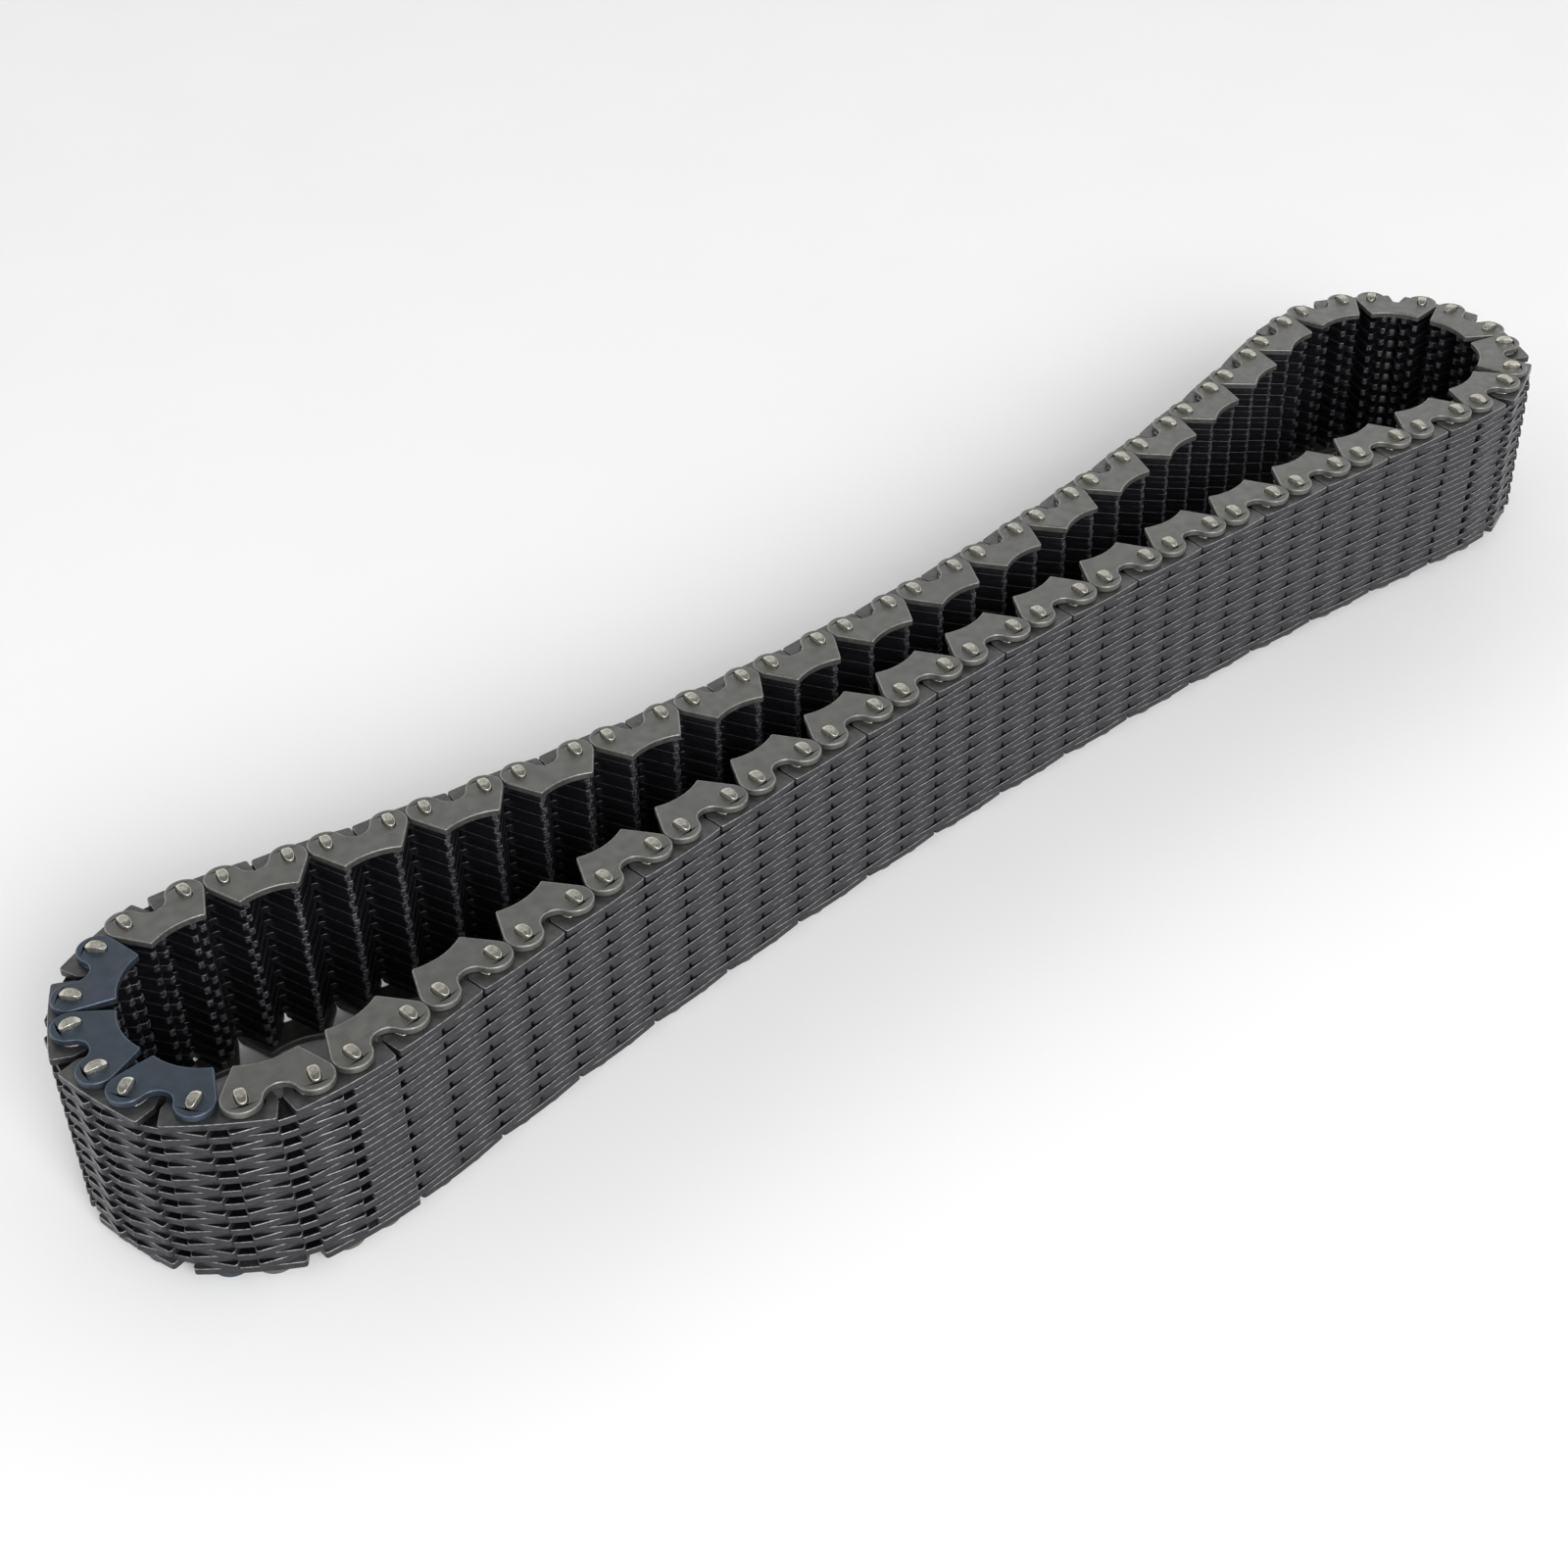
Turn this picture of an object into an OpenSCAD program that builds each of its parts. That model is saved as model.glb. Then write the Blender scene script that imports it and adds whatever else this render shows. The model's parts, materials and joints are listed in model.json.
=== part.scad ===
// Endless inverted-tooth drive chain, standing on its side edge as a closed loop.
// Every link pitch carries one rocker joint. Guide links and inner links alternate round the loop:
// a guide link is two untoothed outer plates and the toothed plates between them, an inner link is
// toothed plates only. Both kinds of toothed plate are laced one by one across the width.

/* [Chain] */
// Distance between two neighbouring joints
pitch = 9.525; // [6.35:0.005:12.7]
// Number of links in the loop, half of them guide links
link_count = 84; // [84]
// Links in one rigid segment, counted from a guide link
segment_links = 6; // [6]
// Plate layers across the width, the two guide plates included
layer_count = 25; // [9:2:33]
// Width taken by one layer
layer_pitch = 1.524; // [1.2:0.004:2]
// Free space between two neighbouring layers
layer_gap = 0.054; // [0.04:0.002:0.1]

/* [Loop shape] */
// Joint number at the middle of the end that carries the dark guide plates
marked_end_joint = 80.75; // [80:0.25:81.5]
// Joint number at the middle of the other end
plain_end_joint = 39; // [38:0.25:40]
// Joints from the middle of an end to the middle of its easement
end_half_joints = 5; // [4.5:0.1:5.5]
// Joints over which an end eases into a run
end_ease_joints = 4; // [3:0.5:6]
// Turn of each joint along the slacker run, in degrees, negative bows it inward
slack_run_turn = -1; // [-1.4:0.1:-0.6]

/* [Toothed plates] */
// Space between a plate's end and the middle of the joint space next to it
plate_end_gap = 0.15; // [0.1:0.05:0.3]
// Height of the crowned back above the joint line, at mid plate
back_height = 4.5; // [4.2:0.1:5.5]
// Drop of the crowned back from mid plate to its ends
back_crown = 0.4; // [0.2:0.1:1]
// Depth of the tooth tips below the joint line
tooth_depth = 6.8; // [6:0.1:7.5]
// Angle of the tooth flanks from the radial direction, in degrees
flank_angle = 30; // [28:1:32]
// Distance of the inner flanks from the plate's middle, at the joint line
crotch_offset = 0.6; // [0.4:0.05:1]
// Radius at the bottom of the space between the two teeth
crotch_r = 1.5; // [1:0.1:1.8]

/* [Guide plates] */
// Radius of the two lobes round the pins
lobe_r = 3.5; // [3:0.05:3.55]
// Depth of the two sharp corners below the joint line
guide_depth = 7.8; // [7:0.1:8.5]
// Rise of the hollow arc between the two corners
guide_hollow = 1.2; // [0.8:0.1:1.6]
// How far the outer crotch reaches past the joint line
guide_crotch_past = 0.8; // [0.2:0.1:1.5]
// Width of the flat that blunts each sharp corner
corner_land = 0.2; // [0.1:0.05:0.4]

/* [Rocker joints] */
// Radius of the round apertures in the toothed plates
aperture_r = 2.35; // [2.2:0.01:2.5]
// Radial play of pin and rocker in the aperture
aperture_play = 0.05; // [0.03:0.01:0.1]
// Radius of the rolling faces of pin and rocker
rolling_r = 5; // [4.5:0.1:6]
// Height of their section, measured across the chain's run
section_h = 3.9; // [3.6:0.1:4.2]
// Space from the joint centre to each rolling face
rolling_gap = 0.12; // [0.1:0.01:0.2]
// Play of the pin in the guide plate
guide_pin_play = 0.02; // [0.01:0.01:0.03]
// Height of the pin ends above the guide plates
pin_proud = 1; // [0.5:0.1:1.5]
// Distance of the rocker ends from the guide plates
rocker_end_gap = 0.05; // [0.03:0.01:0.1]

/* [Hidden] */
$fn = 48;
segment_count = link_count / segment_links;
segments = [1:segment_count];
families = ["guide_plates", "toothed_plates", "pins", "rockers"];

chain_w = layer_count * layer_pitch;
plate_t = layer_pitch - layer_gap;
pin_section_r = aperture_r - aperture_play;
plate_end_u = pitch - plate_end_gap;
// Arcs that run smoothly into a neighbour overlap it by this much, so that the two truly cross
blend = 0.03;
// Middle of the pin's section, measured from the guide link's middle
pin_u = pitch / 2 + (pin_section_r + rolling_gap) / 2;

dark_blue = [0.22, 0.26, 0.31];
plate_grey = [0.34, 0.34, 0.33];
tooth_grey = [0.22, 0.22, 0.23];
pin_steel = [0.66, 0.64, 0.58];
rocker_steel = [0.5, 0.49, 0.46];

function two_digits(n) = n < 10 ? str("0", n) : str(n);
function node_name(family, s) = str(family, "_", two_digits(s));

// ---- The loop: one turn for each joint, worked out so that the loop closes ----

// Smooth step from 0 to 1
function ease(x) = let (c = min(max(x, 0), 1)) c * c * (3 - 2 * c);

// Joints between joint j and the middle of an end, the short way round
function joints_from(j, middle) =
    abs((j - middle + 1.5 * link_count) % link_count - link_count / 2);

// 1 round an end, 0 along a run, eased between
function end_weight(j, middle) =
    ease((end_half_joints + end_ease_joints / 2 - joints_from(j, middle)) / end_ease_joints);

marked_weights = [for (j = [0:link_count - 1]) end_weight(j, marked_end_joint)];
plain_weights = [for (j = [0:link_count - 1]) end_weight(j, plain_end_joint)];
run_weights = [for (j = [0:link_count - 1]) (1 - marked_weights[j]) * (1 - plain_weights[j])];
// The taut run goes from the marked end to the plain end, the slack run comes back
taut_weights = [for (j = [0:link_count - 1]) j <= plain_end_joint ? run_weights[j] : 0];
slack_weights = run_weights - taut_weights;

function total(values) = len(values) == 0 ? 0 : values * [for (v = values) 1];

// All turns add up to 360 degrees, which sets the turn at the plain end
function plain_turn(marked_turn, taut_turn) =
    (360 - marked_turn * total(marked_weights) - taut_turn * total(taut_weights)
        - slack_run_turn * total(slack_weights)) / total(plain_weights);

function turns(marked_turn, taut_turn) =
    marked_turn * marked_weights + taut_turn * taut_weights + slack_run_turn * slack_weights
        + plain_turn(marked_turn, taut_turn) * plain_weights;

// Running sum of a list, with the first value added to start
function running(values, start, i = 0, done = []) =
    i == len(values) ? done
    : let (here = start + values[i]) running(values, here, i + 1, concat(done, [here]));

// Heading of every link, and the points that the links reach one after another from the origin
function headings(t) = running(t, 0);
function steps(h) = [for (a = h) pitch * [cos(a), sin(a)]];
function gap(trial) =
    let (s = steps(headings(turns(trial[0], trial[1]))))
    [total([for (v = s) v[0]]), total([for (v = s) v[1]])];

// Newton's method on the two free turns, with finite differences, until the loop's gap is nil
function solve(trial, rounds) =
    rounds == 0 ? trial
    : let (
        d = 0.001,
        g = gap(trial),
        ga = (gap(trial + [d, 0]) - g) / d,
        gb = (gap(trial + [0, d]) - g) / d,
        det = ga[0] * gb[1] - gb[0] * ga[1],
        change = [(g[0] * gb[1] - gb[0] * g[1]) / det, (ga[0] * g[1] - g[0] * ga[1]) / det]
    ) solve(trial - change, rounds - 1);

solved = solve([20.5, -0.55], 6);
raw_headings = headings(turns(solved[0], solved[1]));
raw_points = concat([[0, 0]], running(steps(raw_headings), [0, 0]));

// ---- The frame: X along the loop from the marked end, origin under the middle ----

function mean_point(first, last) =
    let (n = last - first + 1)
    [total([for (i = [first:last]) raw_points[i][0]]), total([for (i = [first:last]) raw_points[i][1]])] / n;

axis_step = mean_point(35, 43) - mean_point(77, 84);
axis_angle = atan2(axis_step[1], axis_step[0]);
function turned(point, a) = [cos(a) * point[0] - sin(a) * point[1], sin(a) * point[0] + cos(a) * point[1]];

link_angles = [for (a = raw_headings) a - axis_angle];
turned_points = [for (q = raw_points) turned(q, -axis_angle)];
turned_middles = [for (i = [0:link_count - 1]) (turned_points[i] + turned_points[i + 1]) / 2];

// The crowned backs are the outermost edge of the loop
back_r = (plate_end_u ^ 2 + back_crown ^ 2) / (2 * back_crown);
back_reach = [for (i = [0:link_count - 1]) for (x = [-1:0.25:1])
    let (u = x * plate_end_u, v = back_r - back_height - sqrt(back_r ^ 2 - u ^ 2))
    turned_middles[i] + turned([u, v], link_angles[i])];
reach_x = [for (q = back_reach) q[0]];
reach_y = [for (q = back_reach) q[1]];
middle = [(min(reach_x) + max(reach_x)) / 2, (min(reach_y) + max(reach_y)) / 2];

joint_points = [for (q = turned_points) q - middle];
link_middles = [for (q = turned_middles) q - middle];

// ---- Helpers ----

function is_guide(link) = link % 2 == 0;
function links_of(s) = [(s - 1) * segment_links:s * segment_links - 1];
function is_marked(s) = s == segment_count;
function layer_z(layer) = pin_proud + layer * layer_pitch + layer_gap / 2;

// Puts a shape, drawn round a link's middle with its teeth towards +Y, on that link
module on_link(link, z) {
    translate([link_middles[link][0], link_middles[link][1], z])
        rotate(link_angles[link])
            children();
}

// Section of a pin or a rocker: round outside, blunt at the ends, with a rolling face towards
// the joint centre.
// side is 1 for a pin at the link's far joint and -1 at its near joint.
module half_round(side, play = 0) {
    intersection() {
        circle(r = pin_section_r + play);
        translate([side * (rolling_gap + rolling_r), 0]) circle(r = rolling_r + play, $fn = 96);
        square([3 * pin_section_r, section_h + 2 * play], center = true);
    }
}

// ---- Plates ----

module toothed_outline() {
    tip_u = plate_end_u - tooth_depth * tan(flank_angle);
    tip_inner_u = crotch_offset + tooth_depth * tan(flank_angle);
    touch_r = crotch_r - blend;
    crotch_y = (touch_r - crotch_offset * cos(flank_angle)) / sin(flank_angle);
    crotch_touch = [touch_r * cos(flank_angle), crotch_y - touch_r * sin(flank_angle)];
    // The straight ends start past the back, which the crowning circle then trims
    half = [
        [plate_end_u, -2 * back_height], [plate_end_u, 0], [tip_u, tooth_depth],
        [tip_inner_u, tooth_depth], crotch_touch
    ];
    difference() {
        intersection() {
            polygon(concat(half, [for (i = [len(half) - 1:-1:0]) [-half[i][0], half[i][1]]]));
            translate([0, back_r - back_height]) circle(r = back_r, $fn = 96);
        }
        translate([0, crotch_y]) circle(r = crotch_r);
        for (side = [-1, 1]) translate([side * pitch / 2, 0]) circle(r = aperture_r);
    }
}

module guide_outline() {
    // The outer crotch is an arc that runs smoothly into both lobes
    crotch_arc_r = (pin_u ^ 2 + guide_crotch_past ^ 2 - lobe_r ^ 2) / (2 * (lobe_r + guide_crotch_past));
    crotch_arc_y = guide_crotch_past - crotch_arc_r;
    meet = lobe_r / (lobe_r + crotch_arc_r);
    meet_point = [pin_u * (1 - meet), crotch_arc_y * meet];
    flank_start = [pin_u, 0] + (lobe_r - blend) * [cos(flank_angle), sin(flank_angle)];
    corner = [flank_start[0] - (guide_depth - flank_start[1]) * tan(flank_angle), guide_depth];
    hollow_r = ((corner[0] - corner_land) ^ 2 + guide_hollow ^ 2) / (2 * guide_hollow);
    half = [meet_point, [pin_u, 0], flank_start, corner];
    difference() {
        union() {
            polygon(concat(half, [for (i = [len(half) - 1:-1:0]) [-half[i][0], half[i][1]]]));
            for (side = [-1, 1]) translate([side * pin_u, 0]) circle(r = lobe_r);
        }
        translate([0, crotch_arc_y]) circle(r = crotch_arc_r + blend);
        translate([0, guide_depth - guide_hollow + hollow_r]) circle(r = hollow_r, $fn = 96);
        for (side = [-1, 1]) translate([side * pitch / 2, 0]) half_round(side, guide_pin_play);
    }
}

// Two untoothed outer plates on each guide link of segment s
module guide_plates(s) {
    color(is_marked(s) ? dark_blue : plate_grey)
        for (link = links_of(s), layer = [0, layer_count - 1])
            if (is_guide(link))
                on_link(link, layer_z(layer)) linear_extrude(plate_t) guide_outline();
}

// Toothed plates of segment s: guide links fill the even layers, inner links the odd ones
module toothed_plates(s) {
    color(tooth_grey)
        for (link = links_of(s), layer = [(is_guide(link) ? 2 : 1):2:layer_count - 2])
            on_link(link, layer_z(layer)) linear_extrude(plate_t) toothed_outline();
}

// ---- Joint pieces ----

// Pins, held by the guide plates, outside the joint centre of each guide link's two joints
module pins(s) {
    color(pin_steel)
        for (link = links_of(s), side = [-1, 1])
            if (is_guide(link))
                on_link(link, 0) translate([side * pitch / 2, 0, 0])
                    linear_extrude(chain_w + 2 * pin_proud) half_round(side);
}

// Rockers, held by the inner links' plates, on the other side of the joint centre
module rockers(s) {
    rocker_z = pin_proud + layer_pitch + rocker_end_gap;
    color(rocker_steel)
        for (link = links_of(s), side = [-1, 1])
            if (!is_guide(link))
                on_link(link, rocker_z) translate([side * pitch / 2, 0, 0])
                    linear_extrude(chain_w - 2 * (layer_pitch + rocker_end_gap)) half_round(side);
}

for (s = segments) {
    guide_plates(s);
    toothed_plates(s);
    pins(s);
    rockers(s);
}
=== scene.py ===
"""Looks of the inverted-tooth drive chain. Every CAD node is replaced by a detailed piece that rides on the
same body: the same plates, pins and rockers, with rolled or sheared edges and scuffed, mottled steel. The
colours also hold painted highlights on the plate edges and tooth tips, and painted shade inside the loop and
between stacked plates."""
import json
import math

import bpy
import numpy as np
from mathutils import Matrix, Vector
from mathutils.geometry import tessellate_polygon


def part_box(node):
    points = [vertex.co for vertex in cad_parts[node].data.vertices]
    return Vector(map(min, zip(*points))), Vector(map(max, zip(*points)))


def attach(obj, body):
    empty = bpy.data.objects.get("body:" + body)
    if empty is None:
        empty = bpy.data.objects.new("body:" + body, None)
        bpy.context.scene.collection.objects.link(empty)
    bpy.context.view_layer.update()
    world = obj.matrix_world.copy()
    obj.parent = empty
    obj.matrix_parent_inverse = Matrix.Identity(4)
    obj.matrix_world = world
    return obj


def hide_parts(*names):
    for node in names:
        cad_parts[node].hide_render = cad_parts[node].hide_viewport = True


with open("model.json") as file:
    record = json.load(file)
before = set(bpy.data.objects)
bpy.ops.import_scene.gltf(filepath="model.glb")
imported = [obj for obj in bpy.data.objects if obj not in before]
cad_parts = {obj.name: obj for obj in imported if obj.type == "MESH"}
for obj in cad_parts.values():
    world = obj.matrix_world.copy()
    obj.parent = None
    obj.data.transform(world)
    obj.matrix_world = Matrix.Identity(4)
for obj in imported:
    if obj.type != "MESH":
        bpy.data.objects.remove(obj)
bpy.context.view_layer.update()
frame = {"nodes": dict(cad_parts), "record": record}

MM = 0.001
SAME_LAYER = 0.5 * MM     # plates whose levels differ by less than this lie in one layer
rng = np.random.default_rng(7)

# ---- The parts' real sizes, in millimetres, the same as in the CAD source ----

PITCH = 9.525
PLATE_T = 1.47
PLATE_END_U = 9.375       # half the length of a toothed plate
BACK_HEIGHT, BACK_CROWN = 4.5, 0.4
TOOTH_DEPTH = 6.8
FLANK = 30.0              # slope of the tooth flanks, in degrees
CROTCH_OFFSET, CROTCH_R = 0.6, 1.5
LOBE_R = 3.5
GUIDE_DEPTH, GUIDE_HOLLOW, GUIDE_CROTCH_PAST = 7.8, 1.2, 0.8
CORNER_LAND = 0.2         # flat that blunts a guide plate's two sharp corners
PIN_R, ROLLING_R, ROLLING_GAP = 2.3, 5.0, 0.12
PIN_U = PITCH / 2 + (PIN_R + ROLLING_GAP) / 2

# ---- Finishing sizes that the CAD leaves out or has simpler, in millimetres ----

SECTION_W, SECTION_H = 1.9, 3.85    # a pin's or rocker's section, oblong here and a D in the CAD
APERTURE_R = 2.55                   # 0.2 wider than in the CAD, to clear the shoulders of the oblong section
PEEN_SLOPE = 0.55                   # fall of a hammered pin end towards its tips, for each millimetre
LAND_V = 0.85                       # half the length of the flat middle of a hammered end
LAND_SHARE = 0.72                   # width of that flat as a share of the section's width
PIN_HOLE_PLAY = 0.06                # space round a pin in the guide plate
TOOTHED_EDGE_R, GUIDE_EDGE_R, SECTION_EDGE_R = 0.13, 0.32, 0.15


# ---- Outlines: points and outward normals, made of arcs that follow one another ----

def compass(degrees):
    return np.array([math.cos(math.radians(degrees)), math.sin(math.radians(degrees))])


def arc(centre, radius, start, end, steps):
    """Points and normals of an arc whose outward normal turns from start to end. A negative radius makes a
    hollow."""
    normals = [compass(start + (end - start) * k / steps) for k in range(steps + 1)]
    return [(np.array(centre) + radius * n, n) for n in normals]


def corner(point, radius, start, end, steps):
    """The arc that rounds a corner between two edges with the outward normals start and end."""
    a, b = compass(start), compass(end)
    return arc(np.array(point) - radius * (a + b) / (1 + a @ b), radius, start, end, steps)


def mirrored(half):
    """A whole outline from its right half, which starts and ends on the mirror line. Arcs that meet share a
    point."""
    flip = np.array([-1, 1])
    half = half[:1] + [b for a, b in zip(half, half[1:]) if np.abs(b[0] - a[0]).max() > 1e-6]
    return half + [(p * flip, n * flip) for p, n in half[::-1] if abs(p[0]) > 1e-6]


def toothed_outline():
    """The back at the bottom, the two teeth at the top."""
    back_r = (PLATE_END_U ** 2 + BACK_CROWN ** 2) / (2 * BACK_CROWN)
    back_y = back_r - BACK_HEIGHT
    end_r, bend_r, tip_r = 0.6, 1.2, 0.2
    end_x = PLATE_END_U - end_r
    end_y = back_y - math.sqrt((back_r - end_r) ** 2 - end_x ** 2)
    end_start = math.degrees(math.atan2(end_y - back_y, end_x))
    slope = math.tan(math.radians(FLANK))
    tip_u, tip_inner_u = PLATE_END_U - TOOTH_DEPTH * slope, CROTCH_OFFSET + TOOTH_DEPTH * slope
    crotch_y = (CROTCH_R - CROTCH_OFFSET * math.cos(math.radians(FLANK))) / math.sin(math.radians(FLANK))
    return mirrored(
        arc((0, back_y), back_r, -90, end_start, 4)
        + arc((end_x, end_y), end_r, end_start, 0, 3)
        + corner((PLATE_END_U, 0), bend_r, 0, FLANK, 2)
        + corner((tip_u, TOOTH_DEPTH), tip_r, FLANK, 90, 2)
        + corner((tip_inner_u, TOOTH_DEPTH), tip_r, 90, 180 - FLANK, 2)
        + arc((0, crotch_y), -CROTCH_R, 180 - FLANK, 90, 4)
    )


def guide_outline():
    """Two lobes at the bottom with a crotch between them, two sharp corners with a hollow arc at the top."""
    crotch_r = (PIN_U ** 2 + GUIDE_CROTCH_PAST ** 2 - LOBE_R ** 2) / (2 * (LOBE_R + GUIDE_CROTCH_PAST))
    crotch_y = GUIDE_CROTCH_PAST - crotch_r
    meet = math.degrees(math.atan2(-crotch_y, PIN_U)) + 180
    flank_x, flank_y = np.array([PIN_U, 0]) + LOBE_R * compass(FLANK)
    corner_x = flank_x - (GUIDE_DEPTH - flank_y) * math.tan(math.radians(FLANK)) - CORNER_LAND / 2
    hollow_r = (corner_x ** 2 + GUIDE_HOLLOW ** 2) / (2 * GUIDE_HOLLOW)
    hollow_y = GUIDE_DEPTH - GUIDE_HOLLOW + hollow_r
    corner_r = 0.45
    hollow_end = math.degrees(math.atan2(hollow_y - GUIDE_DEPTH, -(corner_x - 2 * corner_r)))
    return mirrored(
        arc((0, crotch_y), -crotch_r, 270, meet, 7)
        + arc((PIN_U, 0), LOBE_R, meet, 360 + FLANK, 20)
        + corner((corner_x, GUIDE_DEPTH), corner_r, FLANK, hollow_end, 3)
        + arc((0, hollow_y), -hollow_r, hollow_end, 90, 6)
    )


def section_outline(play=0.0):
    """A pin's or rocker's section round its own middle: an oblong with bulging sides and round ends."""
    half_w, half_h, side_r = SECTION_W / 2 + play, SECTION_H / 2 + play, ROLLING_R + play
    tip_r = (2 * side_r * half_w - half_w ** 2 - half_h ** 2) / (2 * (side_r - half_h))
    turn = math.degrees(math.asin((half_h - tip_r) / (side_r - tip_r)))
    side = arc((half_w - side_r, 0), side_r, -turn, turn, 4)
    tip = arc((0, half_h - tip_r), tip_r, turn, 90, 4)
    tail = arc((0, tip_r - half_h), tip_r, -90, -turn, 4)
    return mirrored(tail[:-1] + side + tip[1:])


def as_hole(outline, x):
    """The same outline moved along and run backwards, with its normals towards its middle."""
    return [(p + (x, 0), -n) for p, n in outline[::-1]]


def round_hole(x, steps=16):
    return as_hole(arc((0, 0), APERTURE_R, 0, 360, steps)[:-1], x)


# ---- Shapes: an outline with holes, given its thickness and its rounded edges ----

class Shape:
    """One solid in its own place: points, normals and faces. rim marks the faces that round an edge, and wall
    those across the thickness. peen is the slope of its hammered ends."""

    def __init__(self, loops, thickness, edge_r, steps=1, peen=0.0):
        self.points, self.normals, self.faces, self.rim, self.wall = [], [], [], [], []
        self.peen = peen
        caps = [self.add_walls(loop, thickness, edge_r, steps) for loop in loops]
        if peen:
            low, high = caps[0]
            caps = [(self.add_land(loops[0], low, 0, -1), self.add_land(loops[0], high, thickness, 1))]
        self.add_caps(loops, caps)
        self.points, self.normals = np.array(self.points), np.array(self.normals)
        self.normals /= np.linalg.norm(self.normals, axis=1)[:, None]

    def dip(self, v):
        """How far hammering has lowered an end at height v of its section, and the slope there."""
        past = max(abs(v) - LAND_V, 0)
        return self.peen * past, math.copysign(self.peen, v) if past else 0.0

    def add_land(self, loop, ring, level, side):
        """The flat middle of a hammered end, joined to the last ring round it. Gives its first point."""
        start, n = len(self.points), len(loop)
        for p, _ in loop:
            self.points.append((p[0] * LAND_SHARE, p[1] * LAND_V / (SECTION_H / 2), level))
            self.normals.append((0, 0, side))
        for i in range(n):
            j = (i + 1) % n
            corners = (ring + i, ring + j, start + j, start + i)
            self.add_face(corners if side > 0 else corners[::-1], rim=True)
        return start

    def add_walls(self, loop, thickness, edge_r, steps):
        """Rings of points up the wall of one outline or hole. Gives the first point of the lowest and of the
        highest ring."""
        turns = [90 * k / steps for k in range(steps + 1)]
        rings = [(a, edge_r * (1 - math.sin(math.radians(90 - a))), -1) for a in turns]
        rings += [(180 - a, thickness - z, 1) for a, z, _ in rings[::-1]]
        start, n = len(self.points), len(loop)
        for angle, z, side in rings:
            out, up = math.sin(math.radians(angle)), -math.cos(math.radians(angle))
            for p, normal in loop:
                dip, slope = self.dip(p[1])
                self.points.append((*(p - edge_r * (1 - out) * normal), z - side * dip))
                self.normals.append((out * normal[0], out * normal[1] + abs(up) * slope, up))
        for r in range(len(rings) - 1):
            for i in range(n):
                a, b = start + r * n + i, start + r * n + (i + 1) % n
                self.add_face((a, b, b + n, a + n), rim=r != steps, wall=r == steps)
        return start, start + (len(rings) - 1) * n

    def add_caps(self, loops, caps):
        polygons = [[Vector((*p, 0)) for p, _ in loop] for loop in loops]
        lowest = [first + i for (first, _), loop in zip(caps, loops) for i in range(len(loop))]
        highest = [last + i for (_, last), loop in zip(caps, loops) for i in range(len(loop))]
        flat = [v for polygon in polygons for v in polygon]
        for a, b, c in tessellate_polygon(polygons):
            turn = (flat[b] - flat[a]).cross(flat[c] - flat[a]).z
            if turn < 0:
                b, c = c, b
            self.add_face((highest[a], highest[b], highest[c]))
            self.add_face((lowest[a], lowest[c], lowest[b]))

    def add_face(self, corners, rim=False, wall=False):
        self.faces.append(corners)
        self.rim.append(float(rim))
        self.wall.append(float(wall))


# ---- Places: where the CAD's solids are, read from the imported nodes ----

mounts = {m["name"]: Vector(m["pos_m"]) for m in frame["record"]["mounts"]}
SPINE = [np.array(mounts[name][:2]) for name in ("marked_end_sprocket_seat", "plain_end_sprocket_seat")]


def towards_spine(point):
    """Direction from a point to the nearest point of the line between the two sprocket seats."""
    a, along = SPINE[0], SPINE[1] - SPINE[0]
    share = min(max((point - a) @ along / (along @ along), 0), 1)
    way = a + share * along - point
    return way / np.linalg.norm(way)


def separate_solids(node):
    """For each loose solid of a CAD node, its corner points and the corners of its triangles."""
    mesh = frame["nodes"][node].data
    mesh.calc_loop_triangles()
    points = np.array([v.co for v in mesh.vertices])
    _, first, weld = np.unique(np.round(points, 7), axis=0, return_index=True, return_inverse=True)
    triangles = weld.reshape(-1)[np.array([t.vertices for t in mesh.loop_triangles])]
    points = points[first]
    label = np.arange(len(points))
    while True:
        lowest = label[triangles].min(axis=1)
        new = label.copy()
        for k in range(3):
            np.minimum.at(new, triangles[:, k], lowest)
        new = new[new]
        if (new == label).all():
            break
        label = new
    for solid in np.unique(label[triangles]):
        mine = triangles[label[triangles[:, 0]] == solid]
        yield points[label == solid], points[mine]


def middle_and_long_axis(points, triangles):
    """Centre of area and the direction of the greatest spread of one solid's top face."""
    top = triangles[(triangles[:, :, 2] > points[:, 2].max() - 1e-6).all(axis=1)][:, :, :2]
    edge_a, edge_b = top[:, 1] - top[:, 0], top[:, 2] - top[:, 0]
    area = np.abs(edge_a[:, 0] * edge_b[:, 1] - edge_a[:, 1] * edge_b[:, 0]) / 2
    middle = (area[:, None] * top.mean(axis=1)).sum(axis=0) / area.sum()
    offset = top - middle
    total = offset.sum(axis=1)
    spread = np.einsum("t,tki,tkj->ij", area, offset, offset) + np.einsum("t,ti,tj->ij", area, total, total)
    return middle, np.linalg.eigh(spread)[1][:, 1]


def plate_place(points, triangles, depth):
    """Origin, inward direction and lowest level of one plate. depth is how far its outline reaches inward."""
    middle, long_axis = middle_and_long_axis(points, triangles)
    inward = np.array([-long_axis[1], long_axis[0]])
    if inward @ towards_spine(middle) < 0:
        inward = -inward
    reach = ((points[:, :2] - middle) @ inward).max()
    return middle + inward * (reach - depth * MM), inward, points[:, 2].min()


def section_place(points, triangles):
    """The same for one pin or rocker, with its origin halfway between its round face and its rolling face."""
    middle, inward = middle_and_long_axis(points, triangles)
    right = np.array([inward[1], -inward[0]])
    across = (points[:, :2] - middle) @ right
    return middle + (across.min() + across.max()) / 2 * right, inward, points[:, 2].min()


# ---- Pieces: copies of a shape, joined in one mesh for each CAD node ----

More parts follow.
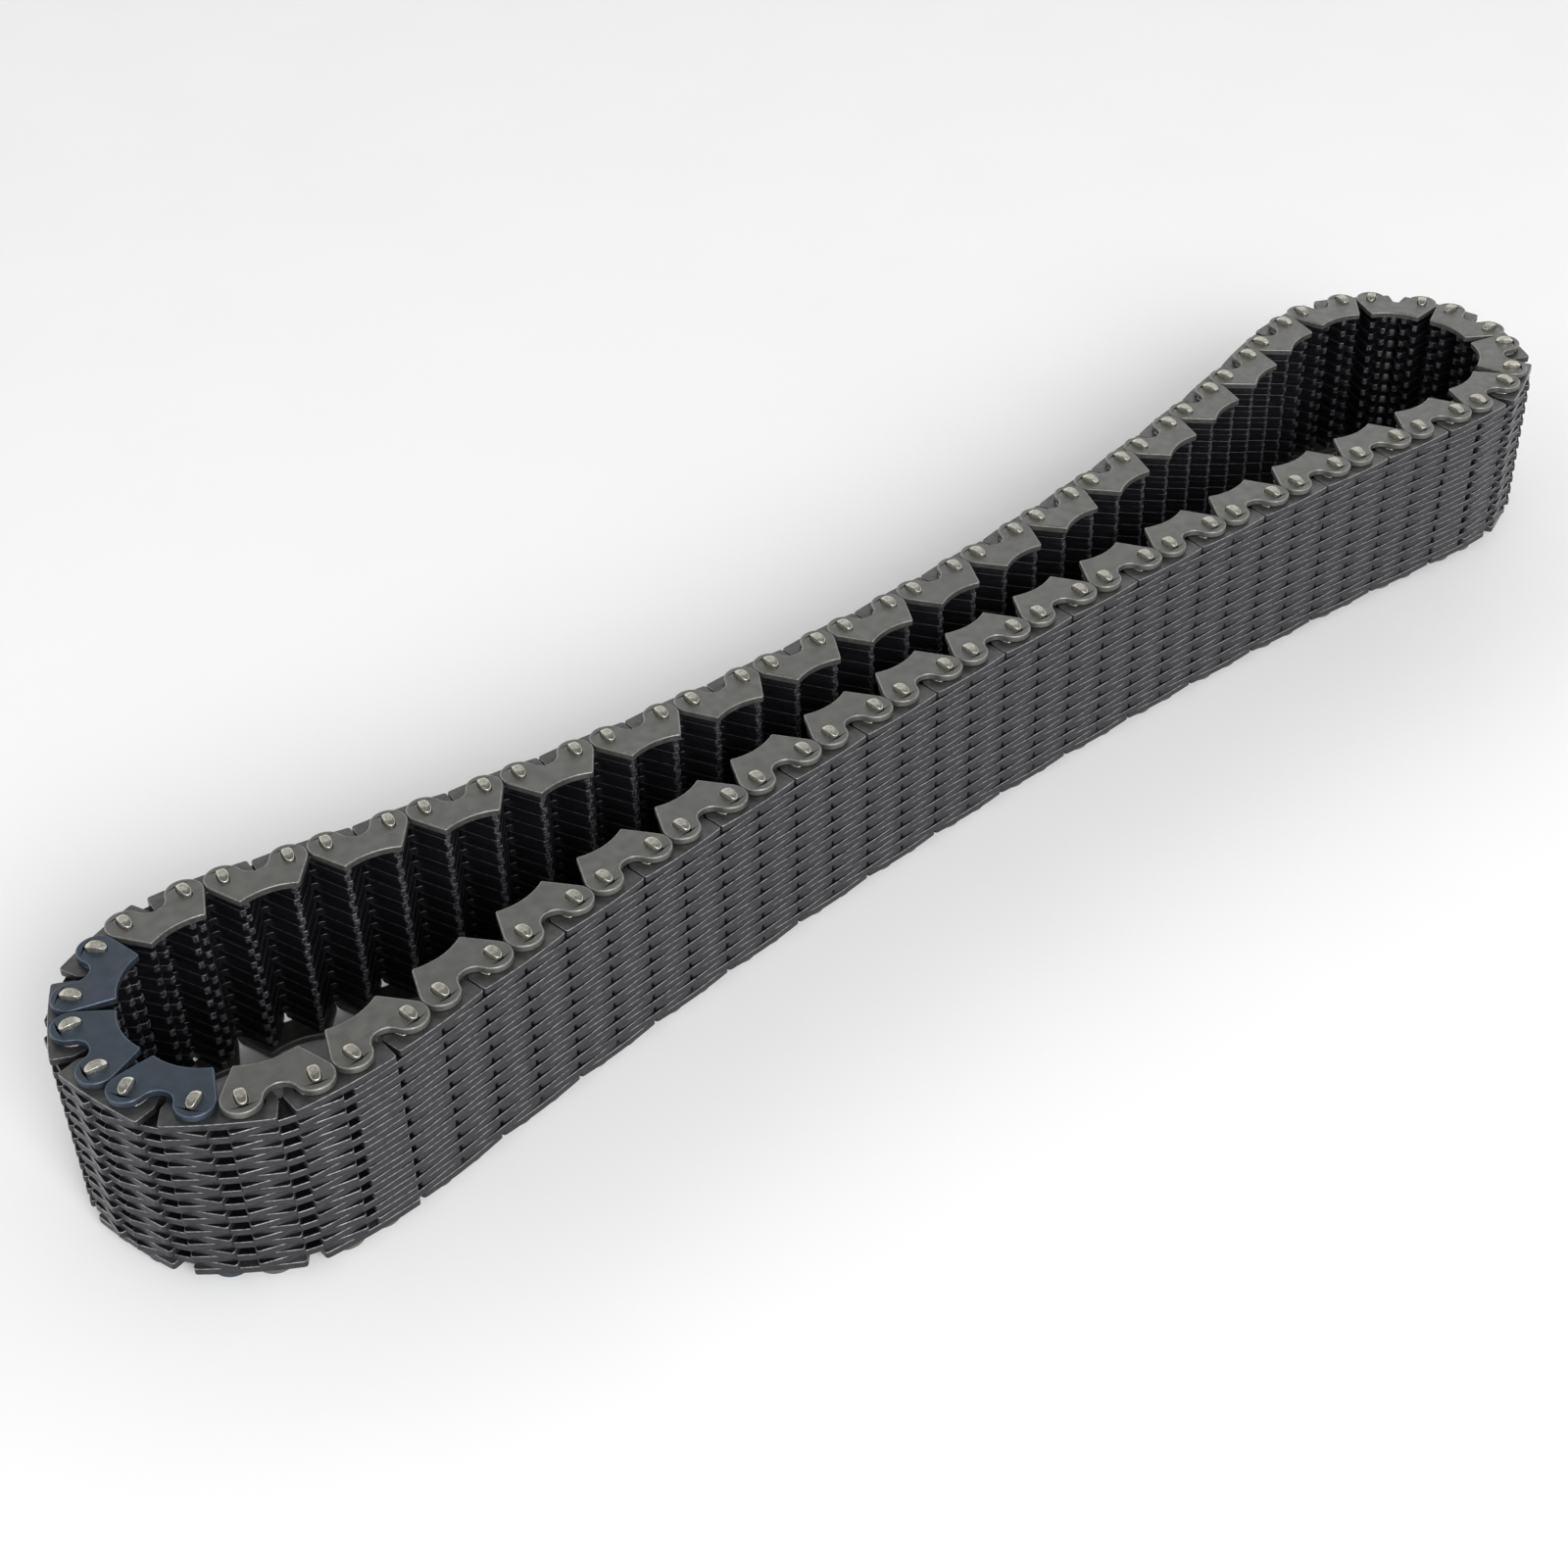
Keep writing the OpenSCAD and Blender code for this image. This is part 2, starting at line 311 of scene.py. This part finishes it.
def piece(name, shapes_at, material, slot, body, node):
    """One object out of (shape, place) pairs. Each copy carries its own tone, its local coordinates and whether
    it lies at the top or the bottom of the stack."""
    points, normals, local, loops, sizes, rim, wall, tone, exposed = [], [], [], [], [], [], [], [], []
    levels = [low for _, (_, _, low) in shapes_at]
    base = 0
    for shape, (origin, inward, low) in shapes_at:
        across = np.array([inward[1], -inward[0]])
        turn = np.array([[*across, 0], [*inward, 0], [0, 0, 1]])
        points.append(shape.points * MM @ turn + np.array([*origin, low]))
        normals.append(shape.normals @ turn)
        local.append(shape.points * MM)
        loops += [i + base for face in shape.faces for i in face]
        sizes += [len(face) for face in shape.faces]
        rim += shape.rim
        wall += shape.wall
        tone += [rng.random()] * len(shape.faces)
        outermost = min(low - min(levels), max(levels) - low) < SAME_LAYER
        exposed += [float(outermost)] * len(shape.faces)
        base += len(shape.points)
    mesh = bpy.data.meshes.new(name)
    mesh.vertices.add(base)
    mesh.vertices.foreach_set("co", np.concatenate(points).ravel())
    mesh.loops.add(len(loops))
    mesh.loops.foreach_set("vertex_index", loops)
    mesh.polygons.add(len(sizes))
    mesh.polygons.foreach_set("loop_start", np.concatenate([[0], np.cumsum(sizes)[:-1]]))
    mesh.update(calc_edges=True)
    for label, values in (("rim", rim), ("wall", wall), ("tone", tone), ("exposed", exposed)):
        mesh.attributes.new(label, "FLOAT", "FACE").data.foreach_set("value", values)
    places = mesh.attributes.new("local", "FLOAT_VECTOR", "POINT")
    places.data.foreach_set("vector", np.concatenate(local).ravel())
    mesh.polygons.foreach_set("use_smooth", [True] * len(sizes))
    mesh.normals_split_custom_set_from_vertices(np.concatenate(normals))
    mesh.materials.append(material)
    made = bpy.data.objects.new(name, mesh)
    bpy.context.scene.collection.objects.link(made)
    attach(made, body)
    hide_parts(node)
    return made


# ---- Materials ----

class Steel:
    """A node tree for one kind of steel, or for paint. Each step adds to the colour, the roughness or the
    bump."""

    def __init__(self, name, metallic, roughness):
        self.material = bpy.data.materials.new(name)
        self.material.use_nodes = True
        self.tree = self.material.node_tree
        self.shader = self.tree.nodes["Principled BSDF"]
        self.shader.inputs["Metallic"].default_value = metallic
        self.shader.inputs["Roughness"].default_value = roughness
        self.tone = self.attribute("tone")
        self.where = self.math_vector("ADD", self.attribute("local", "Vector"), self.scaled_tone())
        self.bump = None

    def node(self, kind, **settings):
        made = self.tree.nodes.new(kind)
        for key, value in settings.items():
            setattr(made, key, value)
        return made

    def link(self, source, target):
        self.tree.links.new(source, target)

    def attribute(self, label, output="Fac"):
        return self.node("ShaderNodeAttribute", attribute_name=label).outputs[output]

    def scaled_tone(self):
        """A different shift of the pattern for every plate, in metres."""
        made = self.node("ShaderNodeVectorMath", operation="SCALE")
        made.inputs[0].default_value = (7.0, 3.0, 11.0)
        self.link(self.tone, made.inputs["Scale"])
        return made.outputs[0]

    def math_vector(self, operation, a, b):
        made = self.node("ShaderNodeVectorMath", operation=operation)
        for source, target in ((a, made.inputs[0]), (b, made.inputs[1])):
            if hasattr(source, "links"):
                self.link(source, target)
            else:
                target.default_value = source
        return made.outputs[0]

    def noise(self, size, detail=4.0, stretch=(1, 1, 1)):
        """Noise with lumps of a size in metres, longer along the axes with a small stretch."""
        made = self.node("ShaderNodeTexNoise")
        made.inputs["Scale"].default_value = 1 / size
        made.inputs["Detail"].default_value = detail
        self.link(self.math_vector("MULTIPLY", self.where, stretch), made.inputs["Vector"])
        return made.outputs["Fac"]

    def mapped(self, value, low, high, to_low, to_high):
        made = self.node("ShaderNodeMapRange")
        for key, number in (("From Min", low), ("From Max", high), ("To Min", to_low), ("To Max", to_high)):
            made.inputs[key].default_value = number
        self.link(value, made.inputs["Value"])
        return made.outputs[0]

    def product(self, a, b):
        made = self.node("ShaderNodeMath", operation="MULTIPLY")
        self.link(a, made.inputs[0])
        if hasattr(b, "links"):
            self.link(b, made.inputs[1])
        else:
            made.inputs[1].default_value = b
        return made.outputs[0]

    def mix(self, factor, a, b):
        """Colour a where the factor is 0 and colour b where it is 1."""
        made = self.node("ShaderNodeMix", data_type="RGBA")
        self.link(factor, made.inputs["Factor"])
        for source, target in ((a, made.inputs[6]), (b, made.inputs[7])):
            if hasattr(source, "links"):
                self.link(source, target)
            else:
                target.default_value = (*source, 1)
        return made.outputs[2]

    def add_bump(self, height, distance, strength=1.0):
        made = self.node("ShaderNodeBump")
        made.inputs["Strength"].default_value = strength
        made.inputs["Distance"].default_value = distance
        self.link(height, made.inputs["Height"])
        if self.bump:
            self.link(self.bump, made.inputs["Normal"])
        self.bump = made.outputs["Normal"]

    def finish(self, colour, roughness):
        self.link(colour, self.shader.inputs["Base Color"])
        self.link(roughness, self.shader.inputs["Roughness"])
        if self.bump:
            self.link(self.bump, self.shader.inputs["Normal"])
        return self.material


def plate_steel(name, dark, light, worn_and_highlight, edge_highlight_and_wear_share):
    """Stamped, heat-treated plate: mottled oxide, fine grain, light scratches, and rolled edges painted
    brighter all round, partly from wearing and partly as a painted highlight.
    """
    steel = Steel(name, 0.75, 0.4)
    mottle = steel.noise(0.0022, 6)
    shade = steel.mix(steel.mapped(mottle, 0.35, 0.65, 0, 1), dark, light)
    shade = steel.mix(steel.product(steel.tone, 0.35), shade, dark)
    # Rolled edges painted brighter: partly from wearing, partly a painted highlight on the rounded rims.
    edge_wear_and_highlight = steel.product(steel.mapped(steel.noise(0.0007, 3), 0.35, 0.6, 0.35, 1), steel.attribute("rim"))
    shade = steel.mix(steel.product(edge_wear_and_highlight, edge_highlight_and_wear_share), shade, worn_and_highlight)
    scratch = steel.mapped(steel.noise(0.0006, 2, (0.25, 3, 1)), 0.68, 0.78, 0, 0.35)
    shade = steel.mix(scratch, shade, worn_and_highlight)
    steel.add_bump(steel.noise(0.00012, 2), 0.000012, 0.5)
    steel.add_bump(mottle, 0.00005, 0.3)
    return steel.finish(shade, steel.mapped(steel.noise(0.0011, 5), 0.3, 0.7, 0.36, 0.56))


def toothed_steel():
    """Dark plate: grey on the outermost plates of the stack, and painted near black on the faces between
    stacked plates, which is painted shade. It is painted darker towards the inside of the loop (painted shade),
    its edges are painted brighter, partly from wearing and partly as a painted highlight, and the tips of its
    teeth carry painted highlights. The shade and the highlights change with the distance inward from the joint
    line, in metres."""
    painted_inner_shade, bare_edge_and_highlight, painted_tip_glint = (0.014, 0.014, 0.018), (0.38, 0.38, 0.385), (0.26, 0.26, 0.285)
    steel = Steel("toothed_plate_steel", 0.75, 0.42)
    exposed = steel.attribute("exposed")
    mottle = steel.noise(0.0016, 6)
    open_face = steel.mix(steel.mapped(mottle, 0.35, 0.65, 0, 1), (0.08, 0.08, 0.079), (0.115, 0.114, 0.11))
    # Painted shade: faces of the plates inside the stack, in the gaps between plates, are painted near black.
    face = steel.mix(exposed, (0.008, 0.008, 0.01), open_face)
    streak = steel.noise(0.0005, 4, (0.3, 0.3, 3))
    sheared = steel.mix(steel.mapped(streak, 0.35, 0.65, 0, 1), (0.029, 0.029, 0.033), (0.063, 0.062, 0.067))
    shade = steel.mix(steel.attribute("wall"), face, sheared)
    split = steel.node("ShaderNodeSeparateXYZ")
    steel.link(steel.attribute("local", "Vector"), split.inputs[0])
    inward = split.outputs["Y"]
    # Painted shade: darker towards the inside of the loop, less on the outermost plates of the stack.
    inner_shade_share = steel.product(steel.mapped(inward, -0.0035, 0.001, 0, 0.95), steel.mapped(exposed, 0, 1, 1, 0.4))
    shade = steel.mix(inner_shade_share, shade, painted_inner_shade)
    shade = steel.mix(steel.product(steel.tone, 0.3), shade, (0.04, 0.04, 0.045))
    # Edges painted brighter: partly from wearing, partly a painted highlight that fades inward into the shaded
    # loop.
    edge_wear_and_highlight = steel.product(steel.mapped(steel.noise(0.0008, 3), 0.35, 0.6, 0.35, 1), steel.attribute("rim"))
    edge_wear_and_highlight = steel.product(edge_wear_and_highlight, steel.mapped(inward, -0.004, 0.001, 0.8, 0.18))
    shade = steel.mix(edge_wear_and_highlight, shade, bare_edge_and_highlight)
    # Painted highlight: speckled glints on the tips of the teeth.
    sparkle = steel.mapped(steel.noise(0.0005, 2), 0.45, 0.6, 0.12, 0.8)
    tip_glint_share = steel.product(steel.mapped(inward, 0.0064, TOOTH_DEPTH * MM, 0, 1), sparkle)
    shade = steel.mix(tip_glint_share, shade, painted_tip_glint)
    steel.add_bump(streak, 0.00004, 0.5)
    steel.add_bump(steel.noise(0.00015, 2), 0.000012, 0.5)
    return steel.finish(shade, steel.mapped(steel.noise(0.0009, 5), 0.3, 0.7, 0.3, 0.5))


def ground_steel(name, dark, light):
    """Ground hard steel with a peened, slightly smeared end."""
    steel = Steel(name, 0.85, 0.3)
    smear = steel.noise(0.0005, 5, (1, 1, 0.4))
    shade = steel.mix(steel.mapped(smear, 0.35, 0.65, 0, 1), dark, light)
    shade = steel.mix(steel.product(steel.attribute("rim"), 0.3), shade, (0.62, 0.6, 0.54))
    steel.add_bump(smear, 0.00006, 0.6)
    steel.add_bump(steel.noise(0.00012, 2), 0.00001, 0.5)
    return steel.finish(shade, steel.mapped(steel.noise(0.0004, 4), 0.3, 0.7, 0.24, 0.42))


def floor_paint():
    paint = Steel("floor_paint", 0.0, 0.6)
    shade = paint.mix(paint.noise(0.05, 2), (0.9, 0.9, 0.9), (0.92, 0.92, 0.92))
    return paint.finish(shade, paint.mapped(paint.noise(0.03, 2), 0.3, 0.7, 0.55, 0.65))


# ---- Chain ----

def chain_shapes():
    """The shapes of the two kinds of plate."""
    apertures = [round_hole(-PITCH / 2), round_hole(PITCH / 2)]
    toothed = Shape([toothed_outline(), *apertures], PLATE_T, TOOTHED_EDGE_R)
    pin_hole = section_outline(play=PIN_HOLE_PLAY)
    holes = [as_hole(pin_hole, PIN_U), as_hole(pin_hole, -PIN_U)]
    guide = Shape([guide_outline(), *holes], PLATE_T, GUIDE_EDGE_R, steps=3)
    return toothed, guide


def chain_steels():
    """The steel of each material slot."""
    return {
        # The third colour and the last number of each plate steel give its scuffed edges and scratches; on the
        # rims they are also a painted highlight.
        "guide_plate": plate_steel(
            "guide_plate_steel", (0.115, 0.115, 0.108), (0.155, 0.155, 0.146), (0.34, 0.34, 0.32), 0.4),
        "dark_guide_plate": plate_steel(
            "marked_guide_plate_steel", (0.042, 0.056, 0.075), (0.056, 0.073, 0.097), (0.13, 0.17, 0.21),
            0.35),
        "toothed_plate": toothed_steel(),
        "pin": ground_steel("pin_steel", (0.27, 0.262, 0.225), (0.42, 0.41, 0.355)),
        "rocker": ground_steel("rocker_steel", (0.32, 0.31, 0.29), (0.5, 0.49, 0.46)),
    }


def add_chain():
    toothed, guide = chain_shapes()
    steels = chain_steels()
    plates = {"toothed_plates": (toothed, TOOTH_DEPTH), "guide_plates": (guide, GUIDE_DEPTH)}
    slots = {row["node"]: row["material_slot"] for row in frame["record"]["subparts"]}
    for body, nodes in frame["record"]["behaviour"]["bodies"].items():
        for node in nodes:
            family = node[:-len("_01")]
            if family in plates:
                shape, depth = plates[family]
                spots = [plate_place(*solid, depth) for solid in separate_solids(node)]
            else:
                low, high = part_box(node)
                peen = PEEN_SLOPE if family == "pins" else 0.0
                shape = Shape([section_outline()], (high.z - low.z) / MM, SECTION_EDGE_R, steps=2, peen=peen)
                spots = [section_place(*solid) for solid in separate_solids(node)]
            shapes_at = [(shape, spot) for spot in spots]
            piece("steel_" + node, shapes_at, steels[slots[node]], slots[node], body, node)


# ---- Studio ----

def add_floor():
    """A wide plain floor, a hair below the pins' ends so that the two don't flicker through each other."""
    size, drop = 20.0, 0.00002
    mesh = bpy.data.meshes.new("floor")
    corners = [(-size, -size, 0), (size, -size, 0), (size, size, 0), (-size, size, 0)]
    mesh.from_pydata(corners, [], [(0, 1, 2, 3)])
    local = [c for v in mesh.vertices for c in v.co]
    mesh.attributes.new("local", "FLOAT_VECTOR", "POINT").data.foreach_set("vector", local)
    mesh.materials.append(floor_paint())
    floor = bpy.data.objects.new("floor", mesh)
    floor.location.z = -drop
    bpy.context.scene.collection.objects.link(floor)


def add_softbox(name, place, size, watts, aim=(0, 0, 0.02)):
    light = bpy.data.lights.new(name, "AREA")
    light.shape, light.size, light.energy = "DISK", size, watts
    lamp = bpy.data.objects.new(name, light)
    lamp.location = place
    lamp.rotation_euler = (Vector(aim) - Vector(place)).to_track_quat("-Z", "Y").to_euler()
    bpy.context.scene.collection.objects.link(lamp)


def add_sky():
    """White walls all round, and a darker ceiling so that little light falls straight down into the loop."""
    world = bpy.data.worlds.new("studio")
    world.use_nodes = True
    nodes, links = world.node_tree.nodes, world.node_tree.links
    split, ramp = nodes.new("ShaderNodeSeparateXYZ"), nodes.new("ShaderNodeMapRange")
    ramp.interpolation_type = "SMOOTHSTEP"
    for key, number in (("From Min", 0.45), ("From Max", 0.85), ("To Min", 1.65), ("To Max", 0.04)):
        ramp.inputs[key].default_value = number
    links.new(nodes.new("ShaderNodeTexCoord").outputs["Generated"], split.inputs[0])
    links.new(split.outputs["Z"], ramp.inputs["Value"])
    links.new(ramp.outputs[0], nodes["Background"].inputs["Strength"])
    nodes["Background"].inputs["Color"].default_value = (1, 1, 1, 1)
    bpy.context.scene.world = world


def add_studio():
    add_sky()
    add_softbox("front_light", (-0.45, -1.1, 0.75), 0.7, 15)
    bpy.context.scene.view_settings.view_transform = "Standard"


def add_camera():
    """The photograph's view: heading and elevation in degrees, distance to the aim point in metres."""
    heading, elevation, roll = 40.70, 37.94, -1.78
    distance, aim = 0.47767, Vector((-0.03876, -0.00494, 0.020))
    level = Vector((math.sin(math.radians(heading)), math.cos(math.radians(heading)), 0))
    forward = level * math.cos(math.radians(elevation)) - Vector((0, 0, math.sin(math.radians(elevation))))
    right = forward.cross(Vector((0, 0, 1))).normalized()
    up = right.cross(forward)
    c, s = math.cos(math.radians(roll)), math.sin(math.radians(roll))
    right, up = c * right + s * up, c * up - s * right
    data = bpy.data.cameras.new("camera")
    data.lens, data.sensor_width = 56.25, 36
    data.clip_start, data.clip_end = 0.01, 20
    camera = bpy.data.objects.new("camera", data)
    facing = Matrix((right, up, -forward)).transposed().to_4x4()
    camera.matrix_world = Matrix.Translation(aim - forward * distance) @ facing
    bpy.context.scene.collection.objects.link(camera)
    bpy.context.scene.camera = camera


add_chain()
add_floor()
add_studio()
add_camera()
